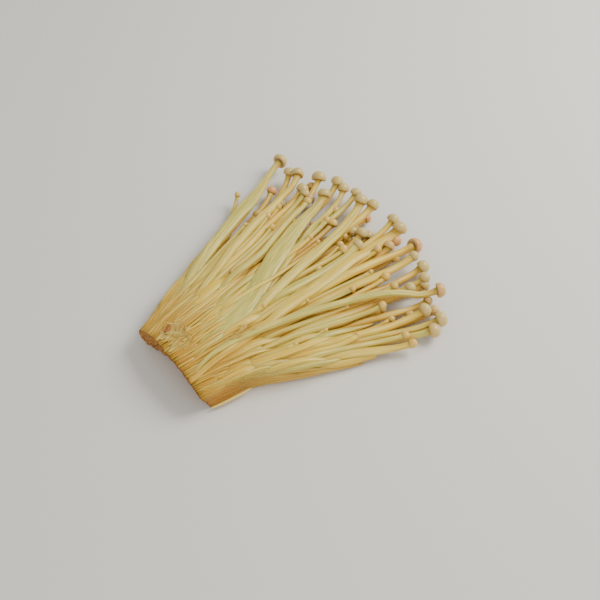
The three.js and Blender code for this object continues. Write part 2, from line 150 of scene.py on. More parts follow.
def draw(low, high):
    """The next seeded number between low and high."""
    global seed
    seed = seed * MULTIPLIER % MODULUS
    return low + (high - low) * seed / MODULUS


# depth, how many, shortest and longest reach as shares of the fan's, cap widths
LAYERS = [
    (0, 12, 0.82, 0.95, 4.4, 6.6), (0.35, 9, 0.78, 0.96, 4, 6.4), (0.7, 5, 0.72, 0.9, 3.6, 5.6),
    (0.1, 16, 0.7, 0.93, 3, 5), (0.45, 14, 0.66, 0.93, 2.8, 4.4),
    (0.65, 12, 0.62, 0.86, 2.4, 3.6), (0.86, 9, 0.52, 0.8, 2.2, 2.9),
]


def crowd_mushroom(layer, index):
    """One mushroom of a layer, in its own share of the fan."""
    depth, count, shortest, longest, narrowest, widest = layer
    step = (FAN_RIGHT - FAN_LEFT) / count
    angle = FAN_LEFT + step * (index + draw(0.25, 0.75))
    fall = FALL_LEFT if angle < 0 else FALL_RIGHT
    reach = (REACH - fall * angle * angle) * draw(shortest, longest)
    cap = draw(narrowest, widest)
    x = APEX_X + reach * math.sin(math.radians(angle))
    y = APEX_Y + reach * math.cos(math.radians(angle))
    return dict(zip(NAMES, (x, y, depth + draw(0, 0.12), cap, cap * 0.3 + draw(1, 1.6),
                            draw(-1, 1), 1.0, draw(-10, 10), draw(-4, 8))))


# %% [markdown]
# Last come strands: stems that never grew a cap and die away in the pile. They make the
# root one fibrous mass while the caps stand free. Where the crowd would show larger caps
# than the real bunch has, they are made smaller, and 0 makes one a strand.

# %% Sow everything
STRAND_SPREAD = 1.9  # strands start within this many half widths of the root
# how many, then ranges for depth, length, thickness and flatness
STRANDS = [
    (30, (0.9, 1.0), (20, 66), (2.1, 3.2), (1.6, 5.0)),
    (64, (0.96, 1.04), (9, 44), (0.8, 1.7), (1.0, 2.2)),
    (40, (0.62, 0.9), (54, 96), (2.2, 3.2), (1.0, 1.8)),
    (34, (0.25, 0.62), (70, 108), (2.4, 3.4), (1.0, 1.6)),
]
SMALLER_CAPS = {62: 0.6, 64: 0.7, 72: 0.7, 73: 0.5, 78: 0.7, 92: 0, 94: 0, 106: 0, 108: 0,
                120: 0, 129: 0}
YOUNG_LEADER, YOUNG_IN_CROWD = 4.4, 5.6  # narrower caps are young and yellow
# Tone runs from 0, warm, to 1, cool and watery. Blush is how peach a cap is.
TONES = {0: 0.9, 14: 1.0, 42: 0.95, 15: 0.9, 13: 0.8, 18: 0.6, 29: 0.35, 3: 0.5, 49: 0.4}
BLUSHES = {4: 0.9, 22: 1.0, 33: 0.8, 41: 0.5, 47: 0.5, 2: 0.1, 14: 0.1}


def strand(index, count, depth, end, stem, flat):
    """A stem without a cap: it leaves the cut and dives into the pile at its end."""
    share = (index + draw(0, 1)) / count * STRAND_SPREAD - STRAND_SPREAD / 2
    root_x = ROOT_MID + share * ROOT_HALF
    far = draw(*end) * (1 - 0.45 * share ** 4)
    x = root_x + (root_x - APEX_X) * far / -APEX_Y * (1 - 0.14 * share ** 2)
    return dict(zip(NAMES, (x, far, draw(*depth), 0.0, draw(*stem), 0.0, draw(*flat),
                            draw(-5, 5), 0.0)))


mushrooms = [dict(zip(NAMES, map(float, row))) for row in LEADING]
for index, route in ROUTES.items():
    mushrooms[index]["route"] = np.array(route, float)
    mushrooms[index]["above"] = ABOVE.get(index, JUST_ABOVE)
for layer in LAYERS:
    mushrooms += [crowd_mushroom(layer, index) for index in range(layer[1])]
for count, *ranges in STRANDS:
    mushrooms += [strand(index, count, *ranges) for index in range(count)]
for index, share in SMALLER_CAPS.items():
    mushrooms[index]["cap"] *= share
for index, m in enumerate(mushrooms):
    m["tone"] = draw(0, 1)
    young = m["cap"] < (YOUNG_LEADER if index < len(LEADING) else YOUNG_IN_CROWD)
    m["blush"] = -draw(0.6, 1) if young else draw(0, 1) ** 5
    m["phase"] = draw(0, 2 * math.pi)
for key, chosen in (("tone", TONES), ("blush", BLUSHES)):
    for index, value in chosen.items():
        mushrooms[index][key] = value
print("mushrooms:", sum(m["cap"] > 0 for m in mushrooms), "of", len(mushrooms), "stems")

# %% [markdown]
# ## The line of each stem
# A stem is stiff and springy, so it follows one gentle curve from the root to its cap.
# A cubic curve with a handle at each end gives that. Neighbours drawn so would look
# combed, so a slow wobble of half a millimetre keeps them from being quite parallel.
# The broad stems follow their own waypoints instead, joined by a spline.

# %% Helpers for lines
SAMPLES = 140
BEHIND = 6.0  # how far behind the cut every line starts
BULGE, BULGE_AT, THINNING, ROUNDING = 2.0, 35.0, 0.03, 0.45


def ease(value, low, high):
    """0 below low, 1 above high, and an S-shaped slope between."""
    share = np.clip((value - low) / (high - low), 0, 1)
    return share * share * (3 - 2 * share)


def pile_height(across, y):
    """Height of the pile at a share of the way across and a distance from the cut."""
    crest = ROOT_DEPTH + BULGE * (y / BULGE_AT) * np.exp(1 - y / BULGE_AT) - THINNING * y
    return crest * (1 - ROUNDING * across * across)


def walked_along(line):
    """The distance walked along a line at each of its points."""
    return np.concatenate([[0], np.cumsum(np.linalg.norm(np.diff(line, axis=0), axis=1))])


def points_at(line, walked, places):
    """The points of a line at certain distances along it."""
    return np.stack([np.interp(places, walked, line[:, i]) for i in range(3)], axis=1)


def through(points):
    """A smooth curve through every point, evenly sampled."""
    p = np.vstack([2 * points[0] - points[1], points, 2 * points[-1] - points[-2]])
    t = np.linspace(0, 1, 16, endpoint=False)[:, None]
    parts = []
    for a, b, c, d in zip(p, p[1:], p[2:], p[3:]):
        bend = (2 * a - 5 * b + 4 * c - d) * t ** 2 + (3 * b - a - 3 * c + d) * t ** 3
        parts.append(b + 0.5 * ((c - a) * t + bend))
    curve = np.vstack([*parts, points[-1:]])
    walked = walked_along(curve)
    return points_at(curve, walked, np.linspace(0, walked[-1], SAMPLES))


# %% Draw the lines
HIDDEN_DEPTH = 2.5  # how far under the pile a broad stem runs before it comes up
BAND_LANDS = (95, 115)  # where it comes down to its own cap's height
WOBBLE, SHIVER, DIVE = 0.45, 0.35, 3.5


def broad_line(m, height_at):
    """A broad stem's line, through its waypoints and on to its tip."""
    (x0, y0, _), (x1, y1, _) = m["route"][:2]
    behind = (x0 - (x1 - x0) * (y0 + BEHIND) / (y1 - y0), -BEHIND, height_at(0))
    x, y, _ = m["route"].T
    above, hidden, free = m["above"]
    out = ease(y, hidden, free)
    up = above * out - (HIDDEN_DEPTH if hidden > 0 else 0) * (1 - out)
    z = height_at(y) + up * (1 - ease(y, *BAND_LANDS))
    tip = (m["x"], m["y"], height_at(m["y"]))
    return through(np.vstack([behind, np.stack([x, y, z], axis=1), tip]))


def line_of(m):
    """Points along one mushroom, from behind the cut to the top of its cap."""
    slope = (m["x"] - APEX_X) / (m["y"] - APEX_Y)
    root_x = APEX_X - slope * APEX_Y + m["shift"]
    across = np.clip((root_x - ROOT_MID) / ROOT_HALF, -1, 1)
    radius = m["stem"] / 2

    def height_at(y):
        raised = min(m["depth"], 1) + (max(m["depth"], 1) - 1) * ease(y, 0, m["y"])
        return radius + FLOOR_GAP + raised * (pile_height(across, y) - 2 * radius)

    if "route" in m:
        return broad_line(m, height_at)
    start = np.array([root_x, -BEHIND, height_at(0)])
    tip = np.array([m["x"], m["y"], max(height_at(m["y"]), m["cap"] / 2 + FLOOR_GAP)])
    third = np.linalg.norm(tip - start) / 3
    leave = math.atan(slope) * (LEAVE_LEFT if slope < 0 else LEAVE_RIGHT)
    arrive = math.atan(slope) + math.radians(m["lean"])
    rise = math.radians(m["rise"])
    first = start + third * np.array([math.sin(leave), math.cos(leave), 0])
    first[2] = height_at(first[1])
    last = tip - third * math.cos(rise) * np.array([math.sin(arrive), math.cos(arrive), 0])
    last[2] = max(height_at(last[1]) - third * math.sin(rise), radius + FLOOR_GAP)
    t = np.linspace(0, 1, SAMPLES)[:, None]
    line = (1 - t) ** 3 * start + 3 * t * (1 - t) ** 2 * first
    line = line + 3 * t * t * (1 - t) * last + t ** 3 * tip
    wave = WOBBLE * np.sin(line[:, 1] / (7 + 6 * m["tone"]) + m["phase"])
    line[:, 0] += wave * np.clip(line[:, 1] / 30, 0, 1)
    if m["cap"] == 0:
        line[:, 2] -= DIVE * ease(t[:, 0], 0.7, 1)
        shiver = SHIVER * np.sin(line[:, 1] / (3.5 + 3 * m["tone"]) + 3 * m["phase"])
        near_root = 1 - ease(line[:, 1], 12, 36)
        line[:, 0] += shiver * near_root * (1 - 0.7 * ease(line[:, 0], -3, 5))
    return line


lines = [line_of(m) for m in mushrooms]
print("longest stem in mm:", round(max(m["y"] for m in mushrooms), 1))

# %% [markdown]
# ## How thick a stem is
# A mushroom's stem is thin where it is rooted among the others and full in its upper
# half, where it had room. Near the root the bunch has pressed each one a little flat. A
# broad stem is a flat band, so it has its own width and stays thin.

# %% Thickness of a stem
THICKNESS_AT = [0, 0.12, 0.3, 0.5, 0.75, 0.93, 1]
THICKNESS = [0.62, 0.68, 0.82, 0.96, 1, 0.9, 0.84]
BAND_THICKEST, BAND_FULL_WIDTH, BAND_THINNEST = 1.4, 2.6, 0.6


def half_sizes(m, share, y):
    """Half width and half height of a stem at shares of its length."""
    tall = m["stem"] / 2 * np.interp(share, THICKNESS_AT, THICKNESS)
    if "route" in m:
        wide = np.interp(y, m["route"][:, 1], m["route"][:, 2]) / 2
        thin = np.clip(BAND_FULL_WIDTH / wide, BAND_THINNEST, 1)
        return wide, np.minimum(np.clip(tall, 0, BAND_THICKEST) * thin, wide)
    spread = math.sqrt(m["flat"])
    if m["cap"] == 0:
        return tall * spread, tall / spread
    spread = 1 + (spread - 1) * np.clip(share * 4, 0, 1) * np.clip((1 - share) * 6, 0, 1)
    pressed = 1 + 0.35 * (1 - ease(y, 12, 60))
    return tall * spread * pressed, tall / spread / pressed


# %% [markdown]
# ## Let the pile settle
# Three hundred curves drawn on their own would run through each other. A rigid-body
# simulation would part them but disturb the fan. A short relaxation keeps it: every few
# millimetres along the bunch each stem is a flat disc, discs that overlap push each
# other apart, gravity pulls them down, and each stem's stiffness smooths the result.

# %% Discs at the stations
STATION_STEP = 4.0
STATIONS = np.arange(-4, 138, STATION_STEP)
home_x = np.array([np.interp(STATIONS, line[:, 1], line[:, 0]) for line in lines])
home_z = np.array([np.interp(STATIONS, line[:, 1], line[:, 2]) for line in lines])
tips = np.array([m["y"] for m in mushrooms])[:, None]
caps = np.array([m["cap"] for m in mushrooms])[:, None]
shares = np.clip((STATIONS + BEHIND) / (tips + BEHIND), 0, 1)
halves = [half_sizes(m, share, STATIONS) for m, share in zip(mushrooms, shares)]
wide = np.array([np.broadcast_to(half[0], STATIONS.shape) for half in halves])
tall = np.array([np.broadcast_to(half[1], STATIONS.shape) for half in halves])
in_cap = (STATIONS > tips - caps * 0.75) & (caps > 0)
wide = np.where(in_cap, caps * 0.46, wide)
tall = np.where(in_cap, caps * 0.46, tall)
present = STATIONS <= tips + 2
print("discs to settle:", int(present.sum()))

# %% Settle the stems
# How strongly a stem is pulled back at each step, and how far it gives way: leading ones
# hold their caps, and broad ones hold all along.
leads = (np.arange(len(mushrooms)) < len(LEADING))[:, None]
broad = np.array(["route" in m for m in mushrooms])
hold = np.where(leads, 0.03 + 0.4 * shares ** 3, 0.02)
hold = np.where(broad[:, None], 0.5, hold)
give = np.where(broad, 0.2, 1.0)
HOLD_UP, SINK = 0.04, 0.02
TOUCH, PUSH, MOST_PUSH = 0.95, 0.22, 0.4

# The sides of the bunch: distance from the cut, left side and right side.
SIDES = np.array([
    (-6, -26.5, 17.2), (4, -29.5, 19.2), (17, -36.5, 20.8), (26, -41, 23.3), (33, -45, 27.4),
    (41, -99, 31.3), (49, -99, 35.1), (58, -99, 39), (66, -99, 42.5), (74, -99, 46.1),
    (82, -99, 99),
])


def settle(steps):
    """Pushes overlapping stems apart and returns their places at every station."""
    left_side = np.interp(STATIONS, SIDES[:, 0], SIDES[:, 1])
    right_side = np.interp(STATIONS, SIDES[:, 0], SIDES[:, 2])
    x, z = home_x.copy(), home_z.copy()
    for _ in range(steps):
        for k in range(len(STATIONS)):
            here = np.flatnonzero(present[:, k])
            sum_wide, sum_tall = (np.add.outer(v, v) for v in (wide[here, k], tall[here, k]))
            dx, dz = (np.subtract.outer(v, v) for v in (x[here, k], z[here, k]))
            dx, dz = dx / sum_wide, dz / sum_tall
            gap = np.sqrt(dx * dx + dz * dz) + 1e-4
            push = np.clip(TOUCH - gap, 0, None) * PUSH * np.minimum(sum_wide, sum_tall)
            np.fill_diagonal(push, 0)
            for value, apart in ((x, dx), (z, dz)):
                moved = np.clip((push * apart / gap).sum(1), -MOST_PUSH, MOST_PUSH)
                value[here, k] += give[here] * moved
        x += (home_x - x) * hold
        z += (home_z - z) * HOLD_UP - SINK
        for value, home in ((x, home_x), (z, home_z)):
            moved = value - home
            moved[:, 1:-1] = 0.5 * moved[:, 1:-1] + 0.25 * (moved[:, 2:] + moved[:, :-2])
            value[:] = home + moved
        x = np.clip(x, left_side + wide, right_side - wide)
        z = np.maximum(z, tall + FLOOR_GAP)
    return x, z


settled_x, settled_z = settle(90)
for index, line in enumerate(lines):
    live = present[index]
    for axis, moved in ((0, settled_x - home_x), (2, settled_z - home_z)):
        line[:, axis] += np.interp(line[:, 1], STATIONS[live], moved[index][live])
tops = [float((settled_z + tall)[:, k][present[:, k]].max()) for k in range(1, len(STATIONS), 6)]
print("pile height along the bunch in mm:", [round(top, 1) for top in tops])

# %% [markdown]
# Light that reaches the deeper stems has passed through the upper ones, so they look
# more orange and darker. That shade is painted into the stem flesh: the height of the
# pile's top is kept as a map, and each point later stores how far it lies below it.

# %% Map of the pile's top
MAP_STEP = 1.0
MAP_X = np.arange(-96, 72, MAP_STEP)
WIDEN_BY = (-2, -1, 0, 1, 2)  # cells over which the map is widened, then softened
top_map = np.zeros((len(STATIONS), len(MAP_X)))
for k in range(len(STATIONS)):
    for i in np.flatnonzero(present[:, k]):
        round_part = 1 - ((MAP_X - settled_x[i, k]) / wide[i, k]) ** 2
        here = settled_z[i, k] + tall[i, k] * np.sqrt(np.clip(round_part, 0, 1))
        top_map[k] = np.maximum(top_map[k], np.where(round_part > 0, here, 0))
for combine in (np.max, np.mean):
    top_map = combine([np.roll(top_map, shift, axis=1) for shift in WIDEN_BY], axis=0)


def below_top(points):
    """How far points lie below the top of the pile, in millimetres."""
    u = np.clip((points[:, 0] - MAP_X[0]) / MAP_STEP, 0, len(MAP_X) - 1.001)
    v = np.clip((points[:, 1] - STATIONS[0]) / STATION_STEP, 0, len(STATIONS) - 1.001)
    i, j = v.astype(int), u.astype(int)
    fv, fu = v - i, u - j
    low = top_map[i, j] * (1 - fu) + top_map[i, j + 1] * fu
    high = top_map[i + 1, j] * (1 - fu) + top_map[i + 1, j + 1] * fu
    return np.clip(low * (1 - fv) + high * fv - points[:, 2], 0, None)


def top_at(x, y):
    """Height of the pile's top at one place."""
    return float(below_top(np.array([[x, y, 0.0]]))[0])


print("highest point of the pile in mm:", round(float(top_map.max()), 1))

# %% [markdown]
# ## Building with rings
# A stem is rings along its line, and a cap is rings from its gills over the rim to the
# top. Curve objects with a bevel would give pipes, but no flutes, flat bands or gills.
# So one small class collects rings into a mesh. It also stores what the materials read:
# the place on the skin in millimetres, the ripeness ("along", 0 tan and 1 pale, or the
# height on a cap), the mushroom's own tone, and how deep a point lies in the pile, which
# sets the painted shade.

# %% Ring builder


def place(name, data):
    """A new object in the scene."""
    made = bpy.data.objects.new(name, data)
    bpy.context.scene.collection.objects.link(made)
    return made


class Rings:
    """Collects closed stacks of rings for one mesh."""

    def __init__(self):
        self.points, self.faces, self.finish = [], [], []
        self.skin, self.along, self.tone = [], [], []
        self.total = 0

    def add(self, rings, skin, along, tone, finish=None):
        """rings and skin are (n, sides, 3); finish is one number for each band and end."""
        n, sides, _ = rings.shape
        first = self.total
        row, corner = first + np.arange(n - 1)[:, None] * sides, np.arange(sides)
        a, b = row + corner, row + (corner + 1) % sides
        self.faces += np.stack([a, b, b + sides, a + sides], axis=-1).reshape(-1, 4).tolist()
        ring = list(range(first, first + sides))
        self.faces.append(ring[::-1])
        self.faces.append([corner + (n - 1) * sides for corner in ring])
        finish = np.zeros(n + 1, int) if finish is None else np.asarray(finish)
        self.finish += np.repeat(finish[1:-1], sides).tolist() + [int(finish[0]), int(finish[-1])]
        self.points.append(rings.reshape(-1, 3))
        self.skin.append(skin.reshape(-1, 3))
        self.along.append(np.repeat(along, sides))
        self.tone.append(np.full(n * sides, tone))
        self.total += n * sides

    def build(self, name, materials):
        """Makes the mesh object in the frame's own place and units."""
        points = np.concatenate(self.points)
        points[:, 2] = np.maximum(points[:, 2], FLOOR_GAP)
        mesh = bpy.data.meshes.new(name)
        mesh.from_pydata(((points - MIDDLE) * MM).tolist(), [], self.faces)
        for label, kind, key, values in (
            ("skin", "FLOAT_VECTOR", "vector", np.concatenate(self.skin)),
            ("along", "FLOAT", "value", np.concatenate(self.along)),
            ("tone", "FLOAT", "value", np.concatenate(self.tone)),
            ("below", "FLOAT", "value", below_top(points)),
        ):
            layer = mesh.attributes.new(label, kind, "POINT")
            layer.data.foreach_set(key, values.astype(np.float32).ravel())
        for made in materials:
            mesh.materials.append(made)
        mesh.polygons.foreach_set("material_index", self.finish)
        mesh.shade_smooth()
        print(name, "has", sum(len(face) - 2 for face in self.faces), "triangles")
        return place(name, mesh)


# %% Helpers for rings


def unit(vectors):
    """Vectors of the same direction and length 1."""
    return vectors / np.linalg.norm(vectors, axis=-1, keepdims=True)


def frames_along(line):
    """Forward, sideways and over directions at each point of a line."""
    forward = unit(np.gradient(line, axis=0))
    side = unit(np.cross(forward, [0, 0, 1.0]))
    return forward, side, np.cross(side, forward)


def swept(line, across, up):
    """Rings along a line. across and up are the section's places at each point."""
    _, side, over = frames_along(line)
    sideways = across[..., None] * side[:, None, :]
    return line[:, None, :] + sideways + up[..., None] * over[:, None, :]


def full_turn(sides):
    """Angles of the corners of a ring."""
    return np.linspace(0, 2 * np.pi, sides, endpoint=False)


def squarish(wave, power):
    """A sine or cosine drawn out towards a square: a power of 1 leaves it round."""
    return np.sign(wave) * np.abs(wave) ** power


# %% [markdown]
# ## The knife's cut
# One stroke of a knife freed the bunch from its block. The cut is a shallow arch that
# leans back under the root, steeper at the right, so from above only its left corner
# shows as a brown strip. A boolean cut through so many thin meshes is slow and leaves
# slivers, so one formula says where every stem and the root end.

# %% Cut
CUT_MIDDLE, CUT_CORNER, CUT_LEVEL = 2.0, -4.0, 8.0
CUT_LEAN_X, CUT_LEAN = [-24, -8, 20], [9, 24, 26]  # degrees, at places across the root


def cut_at(x, z):
    """Where the knife passed, for a place across the root and a height."""
    bow = ((x - ROOT_MID) / (1.4 * ROOT_HALF)) ** 2
    arch = CUT_MIDDLE - (CUT_MIDDLE - CUT_CORNER) * bow
    lean = np.tan(np.radians(np.interp(x, CUT_LEAN_X, CUT_LEAN)))
    coarse = 0.16 * np.sin(1.3 * x + 0.6 * z)
    fine = 0.1 * np.sin(3.1 * x - 1.1 * z + 2 * np.sin(0.7 * x))
    return arch + (CUT_LEVEL - z) * lean + coarse + fine


print("cut at the left, middle and right:", [round(float(cut_at(x, 8.0)), 1) for x in (-28, -4, 20)])

# %% [markdown]
# ## Stems
# A broad stem is several that grew as one: a flat band with lengthwise grooves, whose
# edges droop. Grooves that wander and fade in and out keep it from looking moulded.

# %% Section of a broad stem
GROOVES = 3


def band_section(turn, places, phase):
    """Section of a broad stem, in shares of its half width and half height."""
    flat_x = squarish(np.cos(turn), 0.85)
    flat_z = squarish(np.sin(turn), 0.8)
    depth = np.zeros(np.broadcast_shapes(turn.shape, places.shape))
    for groove in range(GROOVES):
        drift = 0.16 * np.sin(places / (17 + 6 * groove) + phase * (groove + 1))
        here = -0.5 + 0.5 * groove + drift
        strong = 0.15 + 0.13 * np.sin(places / (13 + 5 * groove) + groove)
        depth = depth + strong * np.exp(-((flat_x - here) / 0.11) ** 2)
    return flat_x * np.ones_like(depth), flat_z * (1 - depth * (flat_z > 0))


# %% [markdown]
# Any other stem isn't a pipe either. It is a little oval, with one or two shallow flutes
# that twist slowly round it, and it swells and narrows by a few hundredths. Its neck
# turns up under the cap and widens there. Every stem starts on the cut, in a flat end.

# %% Section of a slender stem
NECK_SAGS, NECK_LIFTS, NECK_WIDENS = 0.25, 0.22, 0.3


def slender_section(turn, places, phase):
    """Section of a slender stem, in shares of its half sizes."""
    twist = (phase + places / 40)[:, None]
    shape = 1 + 0.06 * np.cos(2 * (turn - twist)) + 0.04 * np.cos(3 * (turn + twist))
    shape = shape - 0.10 * np.exp(-((np.sin((turn - twist * 1.3) / 2)) ** 2) / 0.02)
    return shape * np.cos(turn), shape * np.sin(turn)


def swelling(m, places, share, stop):
    """How much thicker or thinner a stem is along its length."""
    swell = 1 + 0.035 * np.sin(places / 5.3 + m["phase"])
    swell = swell + 0.03 * np.sin(places / 2.9 + 2 * m["phase"])
    if m["cap"] == 0:
        return swell * np.sqrt(np.clip((1.01 - share) / 0.22, 0.02, 1))
    near = np.clip(1 - (stop - places) / (0.55 * m["cap"]), 0, 1)
    return swell * (1 + NECK_WIDENS * near ** 2)


def stem_rings(m, line, sides, step):
    """Rings of one stem from the cut to under its cap, and where and how the cap sits."""
    line = line[np.flatnonzero(line[:, 1] >= cut_at(line[:, 0], line[:, 2]))[0]:]
    walked = walked_along(line)
    stop = walked[-1] - m["cap"] * 0.5
    places = np.linspace(0, stop, max(int(stop / step), 6))
    centre = points_at(line, walked, places)
    share = places / walked[-1]
    if m["cap"] > 0:
        room = np.clip(centre[-1, 2] - 0.5 * m["cap"], 0, NECK_SAGS * m["cap"])
        centre[:, 2] -= room * ease(places, stop - 40, stop - 7)
        centre[:, 2] += NECK_LIFTS * m["cap"] * np.clip(1 - (stop - places) / 9, 0, 1) ** 2
    half_wide, half_tall = half_sizes(m, share, centre[:, 1])
    swell = swelling(m, places, share, stop)
    turn = full_turn(sides)[None, :]
    if "route" in m:
        shape_x, shape_z = band_section(turn, places[:, None], m["phase"])
        tip = (ease(share, 0.9, 0.99))[:, None]
        shape_x = shape_x + (np.cos(turn) - shape_x) * tip
        shape_z = shape_z + (np.sin(turn) - shape_z) * tip
        droop = 0.09 * half_wide[:, None] * shape_x ** 2 * (1 - tip)
    else:
        shape_x, shape_z = slender_section(turn, places, m["phase"])
        droop = 0
    across = (half_wide * swell)[:, None] * shape_x
    up = (half_tall * swell)[:, None] * shape_z - droop
    rings = swept(centre, across, up)
    rings[0, :, 1] = cut_at(rings[0, :, 0], rings[0, :, 2])
    skin = np.stack([across, up, np.broadcast_to(places[:, None], across.shape)], axis=-1)
    return rings, skin, (frames_along(centre)[0][-1], centre[-1])


# %% Sweep all stems
RIPENS_BY, RIPENS_LATER = 40, 24  # where a warm stem is pale, and how much later a cool one
leading_stems, crowd_stems = Rings(), Rings()
cap_seats = []
for index, m in enumerate(mushrooms):
    lead = index < len(LEADING)
    sides, step = (48, 1.6) if "route" in m else (16, 2.0) if lead else (11, 3.2)
    rings, skin, seat = stem_rings(m, lines[index], sides, step)
    from_cut = skin[:, 0, 2]
    ripe = ease(from_cut, 0, RIPENS_BY + RIPENS_LATER * m["tone"])
    if "route" in m:
        ripe = np.maximum(ripe, m["tone"] * ease(from_cut, 0, 9))
    bundle = leading_stems if lead else crowd_stems
    bundle.add(rings, skin, ripe, m["tone"], [1] + [0] * len(rings))
    cap_seats.append(seat)
print("points on the stems:", leading_stems.total + crowd_stems.total)

# %% [markdown]
# ## Caps
# An enoki cap is a small dome with a rolled-in rim, and young ones are almost beads. A
# mushroom laid down turns its cap up again, so most tops show, and a few show their
# gills. A squashed sphere has no rim, so an outline is turned round the cap's axis
# instead, a little unevenly.

# %% Caps
# The outline of a cap, in shares of its radius and its height, from the stem outwards.
CAP_OUTLINE = np.array([
    (0.1, 0.17), (0.4, 0.14), (0.66, 0.08), (0.79, 0.03), (0.88, 0.03), (0.955, 0.1),
    (0.99, 0.22), (1.0, 0.34), (0.975, 0.48), (0.91, 0.62), (0.8, 0.76), (0.65, 0.87),
    (0.45, 0.95), (0.22, 0.99), (0.04, 1.0),
])
OUT, UP = CAP_OUTLINE[:, :1], CAP_OUTLINE[:, 1:]
GILL_RINGS = 4
# How far caps look up, in degrees: most by this much, and a few by their own angle.
TILT, TILT_VARIES, TURN_VARIES = 36, 9, 12
OWN_TILT = {0: 2, 33: -16, 22: 8, 3: 20, 36: 30, 42: 10, 47: 20}


def cap_rings(m, index, aim, seat, sides):
    """Rings of one cap, from the middle of its gills round the rim to its top."""
    phase = m["phase"]
    forward = unit(np.array([aim[0], aim[1], 0.0]))
    sideways = np.array([forward[1], -forward[0], 0.0])
    tilt = math.radians(OWN_TILT.get(index, TILT + TILT_VARIES * math.sin(7 * phase)))
    turned = math.radians(TURN_VARIES * math.sin(5 * phase))
    axis = math.cos(tilt) * (forward * math.cos(turned) + sideways * math.sin(turned))
    axis = axis + math.sin(tilt) * np.array([0, 0, 1.0])
    side = unit(np.cross(axis, [0, 0, 1.0]))
    over = np.cross(side, axis)
    young = np.clip((7.5 - m["cap"]) / 4.5, 0, 1)
    high = m["cap"] * (0.62 + 0.2 * young + 0.04 * math.sin(3 * phase))
    turn = full_turn(sides)[None, :]
    uneven = 1 + 0.04 * np.cos(turn + phase) + 0.035 * np.cos(2 * turn - phase)
    out = m["cap"] / 2 * OUT * uneven
    rise = high * (UP + 0.03 * np.cos(2 * turn + 3 * phase) * OUT) - 0.1 * high
    round_it = np.cos(turn)[..., None] * side + np.sin(turn)[..., None] * over
    rings = seat + out[..., None] * round_it + rise[..., None] * axis
    skin = np.stack([out * np.cos(turn), out * np.sin(turn), rise], axis=-1)
    return rings, skin


all_caps = Rings()
capped = [index for index, m in enumerate(mushrooms) if m["cap"] > 0]
for index in capped:
    m = mushrooms[index]
    sides = 32 if index < len(LEADING) else 20
    rings, skin = cap_rings(m, index, *cap_seats[index], sides)
    finish = [1] * (GILL_RINGS + 1) + [0] * (len(CAP_OUTLINE) - GILL_RINGS)
    all_caps.add(rings, skin, CAP_OUTLINE[:, 1], m["blush"], finish)
print("caps:", len(capped), "and the widest in mm:", max(m["cap"] for m in mushrooms))

# %% [markdown]
# ## The root
# Between the stems' rooted ends the flesh is one piece. It shows in the grooves and on
# the cut, where it is brown and crumbly. Without it, light would fall through. It is one
# closed loft, with grooves that run the way of the stems, drawn from layered sine waves.

# %% Sections of the root
BUTT_LENGTH = 40.0
BUTT_INSET = 1.6  # how far inside the bunch's sides its flesh stays
BUTT_TAPER = 3.4  # how much smaller it is all round where it ends
BUTT_SIDES = SIDES[:5]
butt_turn = full_turn(150)


def butt_ring(distance, inset):
    """One section of the root, pulled in by inset millimetres."""
    left = np.interp(distance, BUTT_SIDES[:, 0], BUTT_SIDES[:, 1]) + BUTT_INSET + inset
    right = np.interp(distance, BUTT_SIDES[:, 0], BUTT_SIDES[:, 2]) - BUTT_INSET - inset
    round_x = squarish(np.cos(butt_turn), 0.8)
    x = (left + right) / 2 + (right - left) / 2 * round_x
    crest = pile_height(round_x, distance) - 0.9 - inset
    middle = 0.38 * crest
    lift = squarish(np.sin(butt_turn), 0.6)
    z = middle + lift * np.where(lift > 0, crest - middle, middle - 0.5 - inset)
    groove = 0.4 * np.sin(butt_turn * 37) + 0.3 * np.sin(butt_turn * 61 + 2)
    groove = groove + 0.25 * np.sin(butt_turn * 23 + 1)
    z = z + groove * np.clip(lift, 0, 1) * 0.8
    return np.stack([x, cut_at(x, z) + distance, z], axis=-1)


# %% Root with its crumbly face
FACE_RINGS, FACE_BACK, CRUMB = 9, 0.25, 0.6
face = []
for shrink in np.linspace(0, 1, FACE_RINGS):
    ring = butt_ring(FACE_BACK, 0)
    centre = ring.mean(0)
    for axis in (0, 2):
        ring[:, axis] = centre[axis] + (ring[:, axis] - centre[axis]) * shrink
    x, z = ring[:, 0], ring[:, 2]
    rough = 0.35 * np.sin(x * 2.1 + z * 3.7) + 0.25 * np.sin(x * 5.3 - z * 2.9)
    ring[:, 1] = cut_at(x, z) + FACE_BACK + CRUMB * rough * (1 - shrink ** 4)
    face.append(ring)
walk = np.concatenate([np.linspace(0, 3, 7), np.linspace(4.5, BUTT_LENGTH, 24)])
flanks = [butt_ring(far, BUTT_TAPER * (far / BUTT_LENGTH) ** 2) for far in walk[1:]]
rings = np.array(face + flanks)
butt = Rings()
butt.add(rings, rings.copy(), np.clip(rings[:, 0, 1] / 130, 0, 1), 0.5,
         [1] * FACE_RINGS + [0] * (len(flanks) + 1))
print("root width and height in mm:", np.ptp(rings[FACE_RINGS], axis=0)[[0, 2]].round(1))

# %% [markdown]
# ## Loose fibres
# Where the bunch was pulled open at the root, its flesh has torn into short, flat chips
# and thin curls. Hair particles would be too even, so a rule drops them one by one on
# the torn places, each on top of the pile.

# %% One fibre
loose = Rings()


def drop_fibre(points, half_wide, half_tall, pale, tone=0.1):
    """Adds one fibre along the points, pointed at both ends. A tone of 1 is dried brown."""
    line = through(np.array(points))[::6]
    share = np.linspace(0, 1, len(line))
    taper = np.sqrt(np.clip(1 - (2 * share - 1) ** 4, 0.05, 1))[:, None]
    turn = full_turn(6)
    across = half_wide * taper * np.cos(turn)
    up = half_tall * taper * np.sin(turn)
    places = np.broadcast_to((share * 5 + 2)[:, None], across.shape)
    skin = np.stack([across, up, places], axis=-1)
    loose.add(swept(line, across, up), skin, np.full(len(line), pale), tone)


